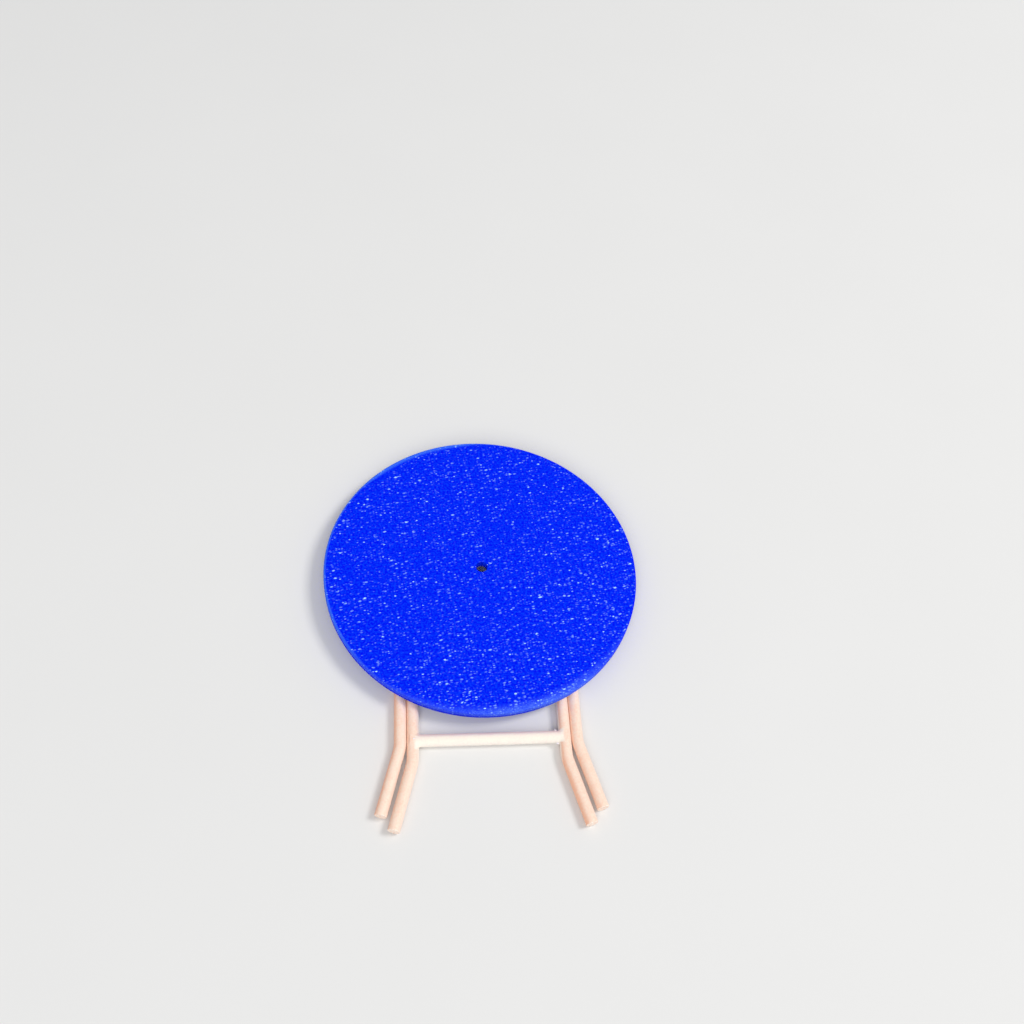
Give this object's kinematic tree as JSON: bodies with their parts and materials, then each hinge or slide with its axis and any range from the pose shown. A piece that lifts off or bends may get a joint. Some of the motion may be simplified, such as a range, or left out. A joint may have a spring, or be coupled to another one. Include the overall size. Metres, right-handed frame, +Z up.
{
  "type": "folding round table miniature",
  "caption": "Small round folding table: thin disc top on crossing bent-rod leg frames that fold flat under it and open as a scissor.",
  "frame": {"origin": "on the ground, under the middle of the folded table", "axes": "+X across the table along the hinge line, +Y from the feet to the far edge of the top, +Z up"},
  "size_m": [0.06, 0.0792, 0.0041],
  "materials": {
    "top_plastic": "satin, fine concentric print lines",
    "leg_plastic": "matte",
    "pin_steel": "plain drawn wire"
  },
  "bodies": {
    "top": {"tabletop": "top_plastic", "hinge_lug_left": "top_plastic", "hinge_lug_right": "top_plastic", "hinge_pin_left": "pin_steel", "hinge_pin_right": "pin_steel", "rail_cradle_left": "top_plastic", "rail_cradle_right": "top_plastic"},
    "outer_frame": {"outer_leg_left": "leg_plastic", "outer_leg_right": "leg_plastic", "pivot_rod": "pin_steel", "pivot_cap_left": "leg_plastic", "pivot_cap_right": "leg_plastic"},
    "inner_frame": {"inner_leg_left": "leg_plastic", "inner_leg_right": "leg_plastic", "inner_stretcher": "leg_plastic", "inner_top_rail": "leg_plastic"}
  },
  "joints": [
    {"name": "leg_fold", "type": "hinge", "parent": "top", "child": "outer_frame", "pos_m": [0, 0.00458, 0.0011], "axis": [1, 0, 0], "range_deg": [0, 117]},
    {"name": "leg_cross", "type": "hinge", "parent": "outer_frame", "child": "inner_frame", "pos_m": [0, -0.00792, 0.0011], "axis": [1, 0, 0], "range_deg": [-62.65, 0]}
  ],
  "couplings": [
    {"joint": "leg_cross", "follows": "leg_fold", "ratio": -0.53465}
  ]
}
